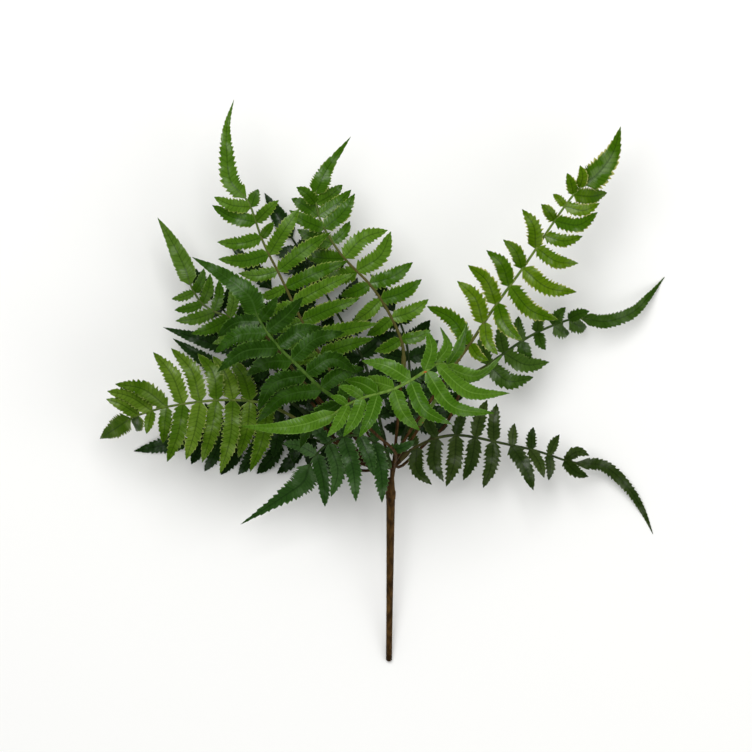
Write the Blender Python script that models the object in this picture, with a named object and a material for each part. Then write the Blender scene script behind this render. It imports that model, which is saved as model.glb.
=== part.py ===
"""Artificial fern spray, lying on a table.

A brown coated stem with a moulded collar carries brown branch wires. Each wire ends in a green
plastic frond: a rib with opposite pairs of toothed leaflets and one long end leaflet.

Places are given in millimetres: X to the right and Y towards the top of the spray as it is seen from
above, both from the middle of the spray, and Z as the height over the table.
"""
import math
from dataclasses import dataclass

import bmesh
import bpy
from mathutils import Vector
from mathutils.bvhtree import BVHTree

MM = 0.001

# Stem and wires
STEM_END = (5.2, -225.0, 1.5)
STEM_TOP = (6.8, -78.0, 51.0)
STEM_PROFILE = (
    (0.0, 1.4), (0.008, 2.35), (0.3, 2.65), (0.65, 3.1), (0.885, 3.5),
    (0.89, 3.9), (0.925, 4.1), (0.93, 3.5), (1.0, 2.6),
)
STEM_SIDES = 10
WIRE_ROOT = (6.6, -88.0, 47.7)
WIRE_BUNDLE = (8.4, -70.0, 54.0)
BUNDLE_SPREAD = 2.2
WIRE_RADIUS = 1.2
WIRE_SIDES = 6
WIRE_STEP = 11.0
SHARP_ANGLE = math.radians(40)

# Ribs and leaflets
JOIN_GAP = 0.3
RIB_TAPER = 0.35
RIB_HALF = 0.9
BLADE_HALF = 0.32
NECK = 2.6
NECK_TEST = 0.04
LEAFLET_WIDTH = 14.0
LEAST_WIDTH = 4.0
WIDTH_PER_LENGTH = 0.24
LEAFLET_ANGLE = math.radians(64)
LEAFLET_DROOP = 0.2
LEAFLET_LIFT = 0.1
END_LIFT = 3.0
REACH_AT_FOOT = 0.75
REACH_RISE = 0.5
REACH_FALL = 0.65

# Leaflet outline: lengths and widths are shares of the leaflet's own
SHOULDER = 0.1
SHOULDER_WIDTH = 0.86
SHOULDER_RISE = 0.5
WIDEST_AT = 0.3
TOOTH_LENGTH = 14.0
BACK_TOOTH_LENGTH = 19.0
FEWEST_TEETH = 2
MOST_TEETH = 4
END_TEETH = 6
TOOTH_DEPTH = 0.2
TOOTH_FALL = 0.2
TOOTH_SLOPE = 0.1
LEAFLET_FULLNESS = 2.3
END_FULLNESS = 1.5
CLEARANCE = 0.25
UP = Vector((0, 0, 1))

# Ways to bend a leaflet clear of what is already there: extra height of its tip, share of its length
BENDS = (
    (0, 1), (5, 1), (-5, 1), (9, 1), (-9, 1), (14, 1), (-14, 1), (20, 1), (-20, 1),
    (0, 0.85), (8, 0.85), (-8, 0.85), (15, 0.85), (-15, 0.85),
    (0, 0.7), (9, 0.7), (-9, 0.7), (16, 0.7), (-16, 0.7), (0, 0.5), (8, 0.5), (-8, 0.5),
)

COATING_ROUGHNESS = 0.55
LEAF_ROUGHNESS = 0.5
BROWN = (58, 40, 20)
BRIGHT = (74, 112, 34)
MID = (68, 106, 40)
DEEP = (50, 84, 38)
DARK = (40, 66, 30)


@dataclass(frozen=True)
class Pair:
    """A rib point with the tips of its two leaflets, as (x, y) or (x, y, fall), and how they arch.

    An empty tip is worked out, because the photo hides it. None stands for no leaflet. Bows are given
    where they differ from the frond's own.
    """

    rib: tuple
    left: tuple | None = ()
    right: tuple | None = ()
    bows: tuple = ()


@dataclass(frozen=True)
class Frond:
    """One frond: its wire, its bare rib, its pairs from the wire outward, and its end leaflet.

    A bow is how far a leaflet's middle arches towards the frond's foot, as a share of its length, and
    the breadth is how wide its leaflets are, as a share of the usual width.
    """

    name: str
    colour: tuple
    wire: tuple
    pairs: tuple
    end: tuple
    tip: tuple
    bare: tuple = ()
    through: tuple = ()
    end_width: float = 14.0
    reach: float = 38.0
    rib_width: float = 2.6
    bow: tuple = (0.05, 0.08)
    breadth: float = 1.0


FRONDS = (
    Frond(
        name="frond_front", colour=BRIGHT, end_width=14, rib_width=3.2,
        wire=((13, -60, 62), (26, -43, 76), (32, -31, 88)), bare=((45, -12, 115), (54, 0, 131)),
        pairs=(
            Pair((51, 12, 142), (96, 20, -16), (68, 47, -12), (-0.25, 0.06)),
            Pair((43.6, 13.6, 150), (102, -10, -14), (46, 43, -12), (-0.17, 0.26)),
            Pair((34.8, 8, 155), (90, -26, -12), (34.8, 42, -14), (-0.2, 0.14)),
            Pair((22, 0, 158), (55.6, -35, -12), (-17, 16, -8), (-0.16, 0.08)),
            Pair((9, -6.6, 159), (30, -40, -16), (-19.6, 0, -18), (-0.1, 0.05)),
            Pair((-4.4, -10.6, 158), (-18.8, -45.4, -14), (-30, 0.6, -20)),
            Pair((-16.4, -13.8, 156), (-31.6, -45, -12), (-35.6, -4.2, -14)),
            Pair((-28.4, -19.4, 152), (-44.4, -45, -14), (-42, -12.2, -10)),
        ),
        end=(-38.8, -26.6, 148), through=((-62, -34.6, 143), (-86, -37.8, 136)), tip=(-114, -36.2, 126),
    ),
    Frond(
        name="frond_front_left", colour=DEEP, end_width=20, breadth=1.1, rib_width=3.4, bow=(-0.14, 0.04),
        wire=((10, -57, 79), (-4, -44, 102), (-20, -29, 114)),
        pairs=(
            Pair((-34, -17, 122), (-66, -54, -20)),
            Pair((-49, -6, 130), (-101, -34, -12), (-14, 10, -14), (-0.15, -0.1)),
            Pair((-61, 5.4, 136), (-100, -24, -16), (-20, 6.2, -12), (-0.2, -0.28)),
            Pair((-72.4, 16.6, 140), (-109, 3.8, -18), (-30, 39, -10), (-0.14, -0.12)),
            Pair((-83, 27, 142), (-132, 7, -8), (-47, 42, -12), (-0.14, -0.12)),
            Pair((-92.4, 39, 143), (-134, 22, -10), (-63.6, 67, -14)),
            Pair((-98, 48, 142), (-132, 35, -12)),
        ),
        end=(-100.4, 53, 142), through=((-107, 68, 141), (-127, 84, 137)), tip=(-152.4, 99, 130),
    ),
    Frond(
        name="frond_top_left", colour=MID, end_width=16, bow=(0.08, -0.02),
        wire=((-8, -48, 60), (-28, -14, 70), (-40, 5, 75)),
        pairs=(
            Pair((-50, 21, 79), (), (-7, 34)),
            Pair((-57, 34, 83), (), (-3, 46)),
            Pair((-64.4, 47.8, 86), (-94, 44), (-18, 66)),
            Pair((-71.6, 62, 89), (-98, 56), (-22, 86)),
            Pair((-77.6, 75, 91), (-99.6, 67, -10), (-27, 96)),
            Pair((-84, 88, 93), (-115.6, 86), (-41.2, 119)),
            Pair((-91, 101.4, 95), (-131.6, 97.4), (-66, 138.2)),
            Pair((-97, 114.6, 96), (-132.4, 111), (-86.8, 127)),
            Pair((-101.4, 127.6, 96), (-136.4, 140.6), (-82.8, 144.6)),
            Pair((-105.6, 139.4, 96), (-134.8, 147), (-99.6, 153.4)),
        ),
        end=(-111, 148, 96), through=((-121.8, 160.6, 96), (-124.8, 184.6, 93), (-124.4, 204.6, 89)),
        tip=(-118.8, 225.4, 84),
    ),
    Frond(
        name="frond_low_left", colour=MID, end_width=18, breadth=1.1,
        wire=((-16, -64, 64), (-42, -47, 74), (-62, -35, 81)), bare=((-77, -26, 85),),
        pairs=(
            Pair((-91.6, -19.4, 89), (-106, -73), None),
            Pair((-106, -16.2, 92), (-115.6, -61.8), (-122, 18, -34)),
            Pair((-119.6, -15.4, 94), (-130, -74.6), (-136, 20, -34)),
            Pair((-132.8, -15.6, 95), (-144.4, -65.8), (-148, 22), (0.03, 0.14)),
            Pair((-146, -16.8, 96), (-157.2, -63.4), (-169.2, 26.2), (0.03, 0.12)),
            Pair((-159.6, -18.6, 95), (-172.4, -65), (-183.6, 23)),
            Pair((-173, -21, 93), (-175.6, -50.6), (-214, -2.6), (0, 0.12)),
            Pair((-185, -24.2, 90), (-188.8, -42.6, -14), (-220.4, -8.2), (0, 0.09)),
            Pair((-195.6, -27.6, 86), (-197.2, -40.2, -18), (-221.2, -14.6), (0, 0.06)),
        ),
        end=(-203, -31, 82), tip=(-226.7, -46.6, 40),
    ),
    Frond(
        name="frond_top_right", colour=BRIGHT, end_width=23, breadth=1.1, bow=(-0.13, 0.13),
        wire=((18, -47, 52), (38, -17, 55), (57, 11, 60)),
        pairs=(
            Pair((70, 29.4, 65), (35.6, 59.8), (85, 16, -12)),
            Pair((81.2, 46.4, 68), (59.6, 80), (92.4, 20.6)),
            Pair((91.6, 61.6, 71), (68.4, 92.6), (112, 32)),
            Pair((102, 76, 74), (83, 104.6), (141, 48.6)),
            Pair((112.4, 90.2, 77), (96.4, 113), (155.6, 71)),
            Pair((123.4, 106.4, 79), (111.6, 137.4), (157, 94)),
            Pair((130, 116.4, 80), None, (160.4, 115.8)),
            Pair((138, 128.4, 80), (126.8, 141.4), (172.4, 135), (-0.05, 0.2)),
            Pair((146.2, 140, 80), (136.4, 149.4), (174, 142.2), (-0.05, 0.16)),
            Pair((153.4, 149.4, 80), (147.6, 166.2), (180, 150.6, -10), (-0.05, 0.08)),
            Pair((158.6, 154.8, 79.5), (158, 172.4), None),
        ),
        end=(163, 158.6, 79), through=((172, 165.6, 78), (184, 182, 75)), tip=(190.8, 203.8, 70),
    ),
    Frond(
        name="frond_low_mid", colour=DEEP, end_width=22, breadth=1.1,
        wire=((5, -70, 60), (5, -64, 65)),
        pairs=(
            Pair((3, -56, 71), None, (26, -48, 4)),
            Pair((-6, -49, 77), (-0.4, -97.8, -14), (-12, -26, -12)),
            Pair((-18, -44, 83), (-6.8, -76.2), (-30, -16, -12)),
            Pair((-31, -44.6, 83), (-21.2, -97), (-46, -18, -12)),
            Pair((-43, -50, 78), (-41.2, -93), (-66, -32, -12), (0.15, 0.08)),
            Pair((-53, -59, 70), (-46, -101), (-80, -50, -10)),
        ),
        end=(-58.8, -69, 61), through=((-63.6, -81, 54), (-78.8, -92.2, 45)), tip=(-114, -115.4, 34),
    ),
    Frond(
        name="frond_top_mid", colour=MID, end_width=16, breadth=1.1,
        wire=((11, -45, 57), (14, -10, 61), (17, 17, 63)),
        pairs=(
            Pair((14.8, 33, 65), (-7, 23, -12), (38.8, 40.6)),
            Pair((7.4, 50, 67), (-13, 36, -12), (37, 65.4)),
            Pair((-1.2, 65, 70), (-24, 47, -12), (31.6, 81.4)),
            Pair((-10.4, 77.4, 72), (-34, 68, -14), (24.4, 95)),
            Pair((-20.6, 87.8, 73), (-50, 82, -12), (6.8, 119.8), (0.05, 0.15)),
            Pair((-31, 98.6, 74), (-64, 102, -12), (4.4, 120.6), (0.05, -0.12)),
            Pair((-40, 110.8, 74), (-68.4, 121.4, -12), (-26, 128, -6)),
            Pair((-46.8, 122.4, 74), (-74.8, 136.6, -10), (-22, 150)),
            Pair((-51, 132.4, 73), (-73, 146), (-25, 153), (-0.06, 0.05)),
            Pair((-53, 142.4, 73), (-69, 155), (-32, 157), (-0.08, 0.05)),
        ),
        end=(-53.4, 151, 73), through=((-49, 160, 73), (-43, 172, 70)), tip=(-25.2, 195.8, 62),
    ),
    Frond(
        name="frond_low_right", colour=DARK, end_width=11, breadth=1.05, bow=(0.04, -0.06),
        wire=((13, -66, 50), (19, -59, 50)),
        pairs=(
            Pair((27, -53, 50), (22, -35, -10), (39.6, -83.4), (0.04, 0.2)),
            Pair((43, -46, 50), (34, -25), (49, -81), (0.04, 0.14)),
            Pair((59, -43.6, 49), (67, -22.6), (51, -85)),
            Pair((74.4, -45.4, 47), (84, -15), (64.6, -80)),
            Pair((89, -48.6, 45), (91.6, -18), (80.6, -86)),
            Pair((104, -51.8, 42), (106, -34, -10), (121, -88)),
            Pair((119, -55, 38), (121, -37, -10), (129.6, -78)),
            Pair((133.6, -59.4, 33), (142, -43, -8), (133.2, -80)),
            Pair((147, -64, 28), (166, -60, -10), (165.2, -77), (0.25, 0.1)),
        ),
        end=(158, -66.4, 23), through=((178, -68.6, 16), (196.4, -85, 8), (208.4, -103.4, 2)),
        tip=(217.4, -123.6, -4),
    ),
    Frond(
        name="frond_left", colour=MID, end_width=16, reach=32,
        wire=((-12, -56, 54), (-38, -28, 52), (-60, -5, 52)), bare=((-78, 17, 54),),
        pairs=(
            Pair((-93, 35, 57)),
            Pair((-108, 45.6, 59), (-136.4, 29.4), (-98, 70)),
            Pair((-122.4, 51, 60), (-153.2, 37.4), (-121, 78)),
            Pair((-135, 55.6, 60), (-166, 47.8), (-131, 81)),
            Pair((-144.6, 62, 58), (-166.8, 56.6), (-138, 86)),
            Pair((-151, 71, 56), (-169, 65.4), (-143, 90)),
        ),
        end=(-154.6, 79, 54), through=((-159, 92, 53), (-169.2, 112.6, 50)), tip=(-180.4, 131, 46),
    ),
    Frond(
        name="frond_right", colour=DEEP, end_width=12, breadth=1.2, reach=34,
        wire=((16, -68, 42), (36, -49, 36), (52, -33, 35), (67, 0, 39)),
        pairs=(
            Pair((85, 13, 42), (), (121.2, 3), (0.05, 0.22)),
            Pair((98, 22.4, 43), (95, 46, -10), (134, 15), (0.05, 0.15)),
            Pair((111.4, 31.6, 43), (109, 52, -10), (122, 9.4)),
            Pair((124.4, 39, 42), (128, 55, -10), (130.8, 24.6)),
            Pair((137.4, 44.6, 40), (146.8, 59, -8), (150, 38, -12)),
            Pair((150, 49, 37), (166, 55.8, -6), (164, 43, -12)),
        ),
        end=(161, 50.4, 34), through=((179, 47.6, 27), (200, 54.5, 17), (214, 68, 8)), tip=(226.8, 83.8, -3),
    ),
    Frond(
        name="frond_back_top", colour=DARK, end_width=15, breadth=1.25, reach=34,
        wire=((4, -60, 44), (0, -42, 41)),
        pairs=(
            Pair((-3, -28, 38)),
            Pair((-6, -13, 35)),
            Pair((-10, 2, 32)),
            Pair((-17, 20, 28)),
            Pair((-27, 38, 24)),
            Pair((-38, 57, 19)),
            Pair((-49, 76, 14)),
            Pair((-59, 93, 10)),
            Pair((-67, 105.6, 7)),
        ),
        end=(-74, 116.6, 4), tip=(-94.8, 151, -4),
    ),
    Frond(
        name="frond_back_high", colour=DARK, end_width=14, breadth=1.25, reach=34,
        wire=((-8, -62, 38), (-20, -34, 27)),
        pairs=(
            Pair((-26, -20, 24)),
            Pair((-33, -7, 21)),
            Pair((-43, 10, 18)),
            Pair((-56, 28, 15)),
            Pair((-69, 46, 12)),
            Pair((-81, 62, 10)),
        ),
        end=(-91, 76, 9), tip=(-124, 112, 3),
    ),
    Frond(
        name="frond_floor_left", colour=DARK, end_width=15, breadth=1.15, reach=36,
        wire=((-16, -72, 36), (-36, -64, 22)), bare=((-50, -60, 14),),
        pairs=(
            Pair((-66, -54, 9)),
            Pair((-82, -50, 6)),
            Pair((-98, -47, 4)),
            Pair((-114, -46, 3)),
            Pair((-130, -45.4, 2)),
            Pair((-146, -46, 1)),
        ),
        end=(-158, -48, 0), tip=(-200, -56.6, -3),
    ),
    Frond(
        name="frond_left_dark", colour=DARK, end_width=13, breadth=1.2, reach=30,
        wire=((-14, -64, 46), (-45, -31, 42), (-62, -12, 42)),
        pairs=(
            Pair((-78, 3, 41)),
            Pair((-92, 13, 40)),
            Pair((-106, 20, 39)),
        ),
        end=(-118, 24, 38), tip=(-176.4, 43, 28),
    ),
    Frond(
        name="frond_left_deep", colour=DARK, end_width=13, breadth=1.2, reach=30,
        wire=((-18, -66, 42), (-44, -40, 34), (-64, -24, 31)),
        pairs=(
            Pair((-82, -12, 31)),
            Pair((-98, -5, 30)),
            Pair((-114, 1, 29)),
        ),
        end=(-128.4, 7, 28), tip=(-168.4, 34, 20),
    ),
    Frond(
        name="frond_back_mid", colour=DARK, end_width=13, breadth=1.25, reach=30,
        wire=((12, -60, 45), (18, -42, 42)),
        pairs=(
            Pair((21, -27, 40)),
            Pair((22, -12, 39)),
            Pair((22, 3, 38)),
            Pair((21, 18, 37)),
            Pair((18.6, 33, 37)),
            Pair((14, 47, 37)),
        ),
        end=(8, 58, 36), tip=(-10, 86, 30),
    ),
    Frond(
        name="frond_back_left", colour=DARK, end_width=13, breadth=1.25, reach=30,
        wire=((-12, -62, 36), (-24, -41, 28)),
        pairs=(
            Pair((-34, -25, 25)),
            Pair((-44, -11, 23)),
            Pair((-54, 3, 21)),
            Pair((-64, 14, 19)),
        ),
        end=(-73, 24, 17), tip=(-104, 54, 10),
    ),
    Frond(
        name="frond_back_low", colour=DARK, end_width=13, breadth=1.2, reach=32,
        wire=((-8, -70, 40), (-20, -63, 31)),
        pairs=(
            Pair((-32, -57, 27), (-24, -80), ()),
            Pair((-45, -51, 25), (-42, -76), ()),
            Pair((-58, -46, 23), (-60, -68), ()),
            Pair((-71, -41, 22), (-72, -66), ()),
            Pair((-84, -36, 21), (-88, -62), ()),
        ),
        end=(-95, -31, 20), tip=(-124, -14, 14),
    ),
    Frond(
        name="frond_back_right", colour=DARK, end_width=12, breadth=1.25, reach=30,
        wire=((15, -61, 41), (23, -48, 36)),
        pairs=(
            Pair((29, -36, 34), (1, -37, -4), ()),
            Pair((34, -24, 33), (8, -18, -10), ()),
            Pair((39, -12, 32)),
            Pair((44, -1, 31), None, ()),
        ),
        end=(50, 9, 30), tip=(70, 34, 24),
    ),
    Frond(
        name="frond_back_far", colour=DARK, end_width=13, breadth=1.1, reach=30,
        wire=((-16, -60, 33), (-46, -24, 26), (-70, 4, 24)),
        pairs=(
            Pair((-88, 22, 24)),
            Pair((-102, 34, 23)),
            Pair((-116, 46, 22)),
            Pair((-129, 58, 21)),
        ),
        end=(-138, 67, 20), tip=(-158, 96, 14),
    ),
)


class Sheet:
    """A thin branching blade, kept as its middle surface until it is thickened."""

    def __init__(self):
        self.points = []
        self.faces = []

    def add(self, point, facing, half):
        """Add a middle point. Where the blade reaches the table it is laid flat on it."""
        if point.z < half:
            point = Vector((point.x, point.y, half))
            facing = UP
        self.points.append((point, facing.normalized(), half))
        return len(self.points) - 1

    def strip(self, rows):
        """Join rows of (left, right) points. The last row may be one point."""
        for (a, b), row in zip(rows, rows[1:]):
            if len(row) == 1:
                self.faces.append((a, b, row[0]))
            else:
                self.faces.append((a, b, row[1]))
                self.faces.append((a, row[1], row[0]))

    def solid(self):
        """Give the vertices and triangles of the thickened blade, split alike on both faces."""
        count = len(self.points)
        above = [p + n * h for p, n, h in self.points]
        below = [p - n * h for p, n, h in self.points]
        triangles = list(self.faces)
        triangles += [(c + count, b + count, a + count) for a, b, c in self.faces]
        edges = {(f[i], f[(i + 1) % 3]) for f in self.faces for i in range(3)}
        for a, b in sorted(edges):
            if (b, a) not in edges:
                triangles.append((b, a, a + count))
                triangles.append((b, a + count, b + count))
        return above + below, triangles


class Obstacles:
    """What is already in place, for bending leaflets clear of it."""

    def __init__(self):
        self.items = []

    def add(self, vertices, triangles, rib_of=""):
        """Keep one closed shape, and the name of the frond that it is the rib of, if it is one."""
        self.items.append((*box(vertices), BVHTree.FromPolygons(vertices, triangles), rib_of))

    def hit(self, vertices, triangles, own_rib="", other_ribs=""):
        """Say whether a shape would cut into one that is kept.

        With own_rib only that frond's rib counts, and with other_ribs all but that frond's rib.
        """
        low, high = box(vertices)
        tree = None
        for other_low, other_high, other, rib_of in self.items:
            if own_rib and rib_of != own_rib or other_ribs and rib_of == other_ribs:
                continue
            if any(low[i] > other_high[i] or high[i] < other_low[i] for i in range(3)):
                continue
            tree = tree or BVHTree.FromPolygons(vertices, triangles)
            if tree.overlap(other):
                return True
        return False


def box(vertices):
    """Give the lowest and highest corners of some points."""
    low = Vector([min(v[i] for v in vertices) for i in range(3)])
    high = Vector([max(v[i] for v in vertices) for i in range(3)])
    return low, high


def curve_point(points, at):
    """Give the place and heading of a smooth curve through the points, at a point number."""
    last = len(points) - 1
    index = min(int(at), last - 1)
    t = at - index
    p1 = points[index]
    p2 = points[index + 1]
    p0 = points[index - 1] if index else p1 * 2 - p2
    p3 = points[index + 2] if index + 2 <= last else p2 * 2 - p1
    a = p3 - p0 + (p1 - p2) * 3
    b = p0 * 2 - p1 * 5 + p2 * 4 - p3
    c = p2 - p0
    place = p1 + (c * t + b * t * t + a * t ** 3) / 2
    return place, (c + b * t * 2 + a * t * t * 3).normalized()


def facing_up(heading):
    """Give the direction across a heading that points most upward."""
    return (UP - heading * heading.dot(UP)).normalized()


def route(frond):
    """Give the curve's points from the stem outward and the number of the wire's last point."""
    bundle = Vector(WIRE_BUNDLE)
    bundle += (Vector(frond.wire[0]) - bundle).normalized() * BUNDLE_SPREAD
    points = [Vector(WIRE_ROOT), bundle]
    points += [Vector(p) for p in frond.wire + frond.bare]
    points += [Vector(pair.rib) for pair in frond.pairs]
    points.append(Vector(frond.end))
    return points, len(frond.wire) + 1


def tube(path, radii, sides):
    """Give the vertices and faces of a closed tube along (place, heading) stations."""
    vertices = []
    faces = []
    side = path[0][1].orthogonal().normalized()
    for (place, heading), radius in zip(path, radii):
        side = (side - heading * side.dot(heading)).normalized()
        other = heading.cross(side)
        for k in range(sides):
            angle = math.tau * k / sides
            vertex = place + (side * math.cos(angle) + other * math.sin(angle)) * radius
            vertex.z = max(vertex.z, 0)
            vertices.append(vertex)
    rings = len(path)
    for ring in range(rings - 1):
        for k in range(sides):
            a = ring * sides + k
            b = ring * sides + (k + 1) % sides
            faces.append((a, b, b + sides, a + sides))
    faces.append(tuple(reversed(range(sides))))
    faces.append(tuple(range((rings - 1) * sides, rings * sides)))
    return vertices, faces


def wire_tube(frond, radius):
    """Give the tube of one branch wire."""
    points, ends_at = route(frond)
    path = [curve_point(points, 0)]
    for index in range(ends_at):
        steps = max(1, round((points[index + 1] - points[index]).length / WIRE_STEP))
        path += [curve_point(points, index + (k + 1) / steps) for k in range(steps)]
    return tube(path, [radius] * len(path), WIRE_SIDES)


def rib_stations(frond):
    """Give the rib's (place, heading) stations and, for each pair, its first station's number."""
    points, ends_at = route(frond)
    place, heading = curve_point(points, ends_at)
    stations = [(place + heading * JOIN_GAP, heading)]
    first_pair = ends_at + len(frond.bare) + 1
    for index in range(ends_at, first_pair):
        if (points[index + 1] - points[index]).length > WIRE_STEP:
            stations.append(curve_point(points, index + 0.5))
        if index + 1 < first_pair:
            stations.append(curve_point(points, index + 1))
    necks = []
    for number in range(len(frond.pairs)):
        place, heading = curve_point(points, first_pair + number)
        necks.append(len(stations))
        stations.append((place - heading * NECK / 2, heading))
        stations.append((place + heading * NECK / 2, heading))
    stations.append((points[-1], curve_point(points, len(points) - 1)[1]))
    return stations, necks


def rib_rows(frond, grow=0.0):
    """Give the rib's rows as ((place, facing, half), ...) for the left and right edge."""
    rows = []
    stations = rib_stations(frond)[0]
    for number, (place, heading) in enumerate(stations):
        facing = facing_up(heading)
        across = facing.cross(heading) * (rib_half_width(frond, number / len(stations)) + grow)
        rows.append(tuple((place + side, facing, RIB_HALF + grow) for side in (across, -across)))
    return rows


def rib_half_width(frond, share):
    """Give half the rib's width, which tapers along the rib."""
    return frond.rib_width / 2 * (1 - RIB_TAPER * share)


def outline(teeth, fullness):
    """Give (share of the length, share of the half width) for a toothed leaflet's stations."""
    stations = []
    for k in range(teeth):
        at = SHOULDER + (1 - SHOULDER) * k / teeth
        narrowing = (max(0, at - WIDEST_AT) / (1 - WIDEST_AT)) ** fullness
        body = min(SHOULDER_WIDTH + SHOULDER_RISE * at, 1 - narrowing)
        stations.append((at, body))
        stations.append((at + TOOTH_FALL / teeth, (body - TOOTH_SLOPE / teeth) * (1 - TOOTH_DEPTH)))
    return stations


def blade_rows(points, facing, width, teeth, fullness, grow=0.0):
    """Give a leaflet's rows after its neck: two edge points each, and one at the tip.

    Rows that are grown to test for clearance start just past the neck.
    """
    last = len(points) - 1
    rows = []
    stations = outline(teeth, fullness)
    if grow:
        stations.insert(0, (NECK_TEST, NECK / width))
    for at, share in stations:
        place, heading = curve_point(points, at * last)
        across = facing.cross(heading).normalized()
        half_width = width / 2 * share + grow
        up = heading.cross(across)
        rows.append(tuple((place + across * s * half_width, up, BLADE_HALF + grow) for s in (1, -1)))
    rows.append(((points[-1], facing, BLADE_HALF + grow),))
    return rows


def leaflet_curve(neck, tip, bow):
    """Give the points of a leaflet's arched middle line. A bow above 0 arches it to its left."""
    span = tip - neck
    middle = neck + span * 0.5 + UP * span.length * LEAFLET_LIFT + UP.cross(span) * bow
    return [neck, middle, tip]


def wanted_tip(frond, place, heading, side, tip, share):
    """Give the tip that a leaflet should reach: as stated, or at the usual angle where it is hidden."""
    if tip:
        fall = tip[2] if len(tip) > 2 else None
        span = Vector((tip[0] - place.x, tip[1] - place.y, 0))
    else:
        fall = None
        flat = Vector((heading.x, heading.y, 0)).normalized()
        outward = Vector((-flat.y, flat.x, 0)) * side
        length = frond.reach * (REACH_AT_FOOT + REACH_RISE * share - REACH_FALL * share ** 3)
        span = (flat * math.cos(LEAFLET_ANGLE) + outward * math.sin(LEAFLET_ANGLE)) * length
    span.z = -LEAFLET_DROOP * span.length if fall is None else fall
    return place + span


def leaflet_width(frond, length):
    """Give a leaflet's greatest width: short ones are narrower."""
    return min(LEAFLET_WIDTH, LEAST_WIDTH + WIDTH_PER_LENGTH * length) * frond.breadth


def leaflet_teeth(frond, length):
    """Give how many teeth a leaflet has: fewer on the dark fronds at the back."""
    tooth = BACK_TOOTH_LENGTH if frond.colour == DARK else TOOTH_LENGTH
    return max(FEWEST_TEETH, min(MOST_TEETH, round(length / tooth)))


def sheet_of(rows):
    """Give a sheet that holds one run of rows."""
    sheet = Sheet()
    sheet.strip([tuple(sheet.add(*corner) for corner in row) for row in rows])
    return sheet


def attach(sheet, neck_row, rows):
    """Grow rows from a neck whose two points are already in the sheet."""
    sheet.strip([neck_row] + [tuple(sheet.add(*corner) for corner in row) for row in rows])


def place_leaflets(obstacles):
    """Choose every leaflet's rows, frond by frond, bending each clear of what is in place."""
    chosen = {frond.name: [] for frond in FRONDS}
    for frond in FRONDS:
        obstacles.add(*wire_tube(frond, WIRE_RADIUS + CLEARANCE))
        obstacles.add(*sheet_of(rib_rows(frond, CLEARANCE)).solid(), frond.name)
    for frond in FRONDS:
        end, heading = rib_stations(frond)[0][-1]
        points = [end] + [Vector(p) for p in frond.through] + [Vector(frond.tip)]
        if not frond.through:
            points.insert(1, (points[0] + points[1]) / 2 + UP * END_LIFT)
        facing = facing_up(heading)
        build = (points, facing, frond.end_width, END_TEETH, END_FULLNESS)
        chosen[frond.name].append(("end", 0, blade_rows(*build)))
        obstacles.add(*sheet_of(blade_rows(*build, CLEARANCE)).solid())
    for frond in FRONDS:
        stations, necks = rib_stations(frond)
        for number in reversed(range(len(necks))):
            for side, tip in ((1, frond.pairs[number].left), (-1, frond.pairs[number].right)):
                if tip is None:
                    continue
                rows = fitted_leaflet(frond, stations, necks, number, side, tip, obstacles)
                if rows:
                    chosen[frond.name].append((side, necks[number], rows))
    return chosen


def fitted_leaflet(frond, stations, necks, number, side, tip, obstacles):
    """Give the rows of one leaflet bent clear of the obstacles, or nothing where none fits."""
    station = necks[number]
    heading = stations[station][1]
    centre = (stations[station][0] + stations[station + 1][0]) / 2
    facing = facing_up(heading)
    neck = centre + facing.cross(heading) * side * rib_half_width(frond, station / len(stations))
    share = number / max(1, len(necks) - 1)
    bows = frond.pairs[number].bows or frond.bow
    bow = bows[0] if side > 0 else -bows[1]
    wanted = wanted_tip(frond, neck, heading, side, tip, share)
    for extra, length_share in BENDS:
        reached = neck + (wanted - neck) * length_share + UP * extra
        length = (reached - neck).length
        points = leaflet_curve(neck, reached, bow)
        teeth = leaflet_teeth(frond, length)
        build = (points, facing, leaflet_width(frond, length), teeth, LEAFLET_FULLNESS)
        rows = blade_rows(*build, CLEARANCE)
        whole = sheet_of(rows).solid()
        past_neck = sheet_of(rows[1:]).solid()
        if obstacles.hit(*whole, other_ribs=frond.name) or obstacles.hit(*past_neck, own_rib=frond.name):
            continue
        obstacles.add(*whole)
        return blade_rows(*build)
    return None


def frond_sheet(frond, leaflets):
    """Join a frond's rib, its leaflets and its end leaflet in one sheet."""
    sheet = Sheet()
    rib = [tuple(sheet.add(*corner) for corner in row) for row in rib_rows(frond)]
    sheet.strip(rib)
    for side, station, rows in leaflets:
        if side == "end":
            attach(sheet, rib[-1], rows)
        elif side > 0:
            attach(sheet, (rib[station][0], rib[station + 1][0]), rows)
        else:
            attach(sheet, (rib[station + 1][1], rib[station][1]), rows)
    return sheet


def linear(channel):
    """Turn a screen colour channel from 0 to 255 into a linear share."""
    share = channel / 255
    return share / 12.92 if share <= 0.04045 else ((share + 0.055) / 1.055) ** 2.4


def plastic(name, colour, roughness):
    """Make a plain plastic material."""
    material = bpy.data.materials.new(name)
    material.use_nodes = True
    shader = material.node_tree.nodes["Principled BSDF"]
    shader.inputs["Base Color"].default_value = (*[linear(c) for c in colour], 1)
    shader.inputs["Roughness"].default_value = roughness
    shader.inputs["Metallic"].default_value = 0
    return material


def add_object(name, vertices, faces, material):
    """Add a mesh object, turning millimetres into metres."""
    mesh = bpy.data.meshes.new(name)
    mesh.from_pydata([v * MM for v in vertices], [], faces)
    mesh.validate()
    mesh.materials.append(material)
    obj = bpy.data.objects.new(name, mesh)
    bpy.context.scene.collection.objects.link(obj)
    return obj


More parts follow.
